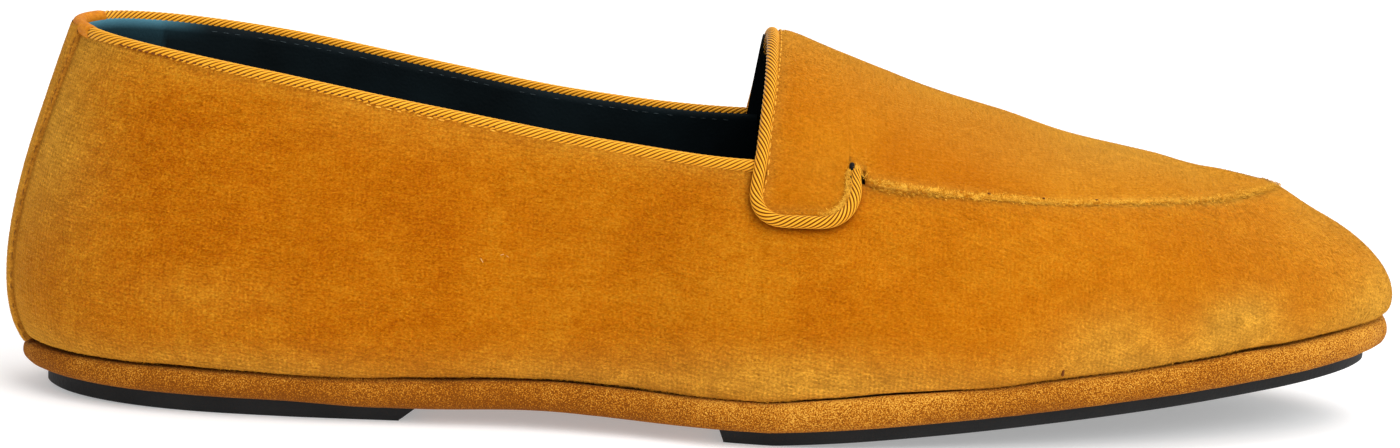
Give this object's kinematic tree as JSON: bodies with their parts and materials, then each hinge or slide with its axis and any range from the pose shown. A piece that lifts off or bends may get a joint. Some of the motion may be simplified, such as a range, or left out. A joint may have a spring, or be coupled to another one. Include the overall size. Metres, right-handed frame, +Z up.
{
  "type": "velvet loafer",
  "caption": "Slip-on loafer with a hollow velvet upper, a raised apron with rounded tabs, twisted cord edging, a suede-wrapped midsole and dark rubber treads.",
  "frame": {"origin": "on the floor under the middle of the shoe's box", "axes": "+X from heel to toe, +Y towards the inner side of the foot, +Z up"},
  "size_m": [0.2872, 0.095, 0.0792],
  "materials": {
    "velvet": "mustard velvet with a short nap",
    "cord": "twisted satin cord",
    "suede": "orange-brown suede",
    "lining": "dark smooth lining leather",
    "rubber": "matte, near black"
  },
  "bodies": {
    "root": {"upper": "velvet", "apron": "velvet", "backstay": "velvet", "collar_cord": "cord", "apron_cord": "cord", "midsole": "suede", "insole": "lining", "heel_pad": "rubber", "forefoot_pad": "rubber"}
  },
  "joints": []
}
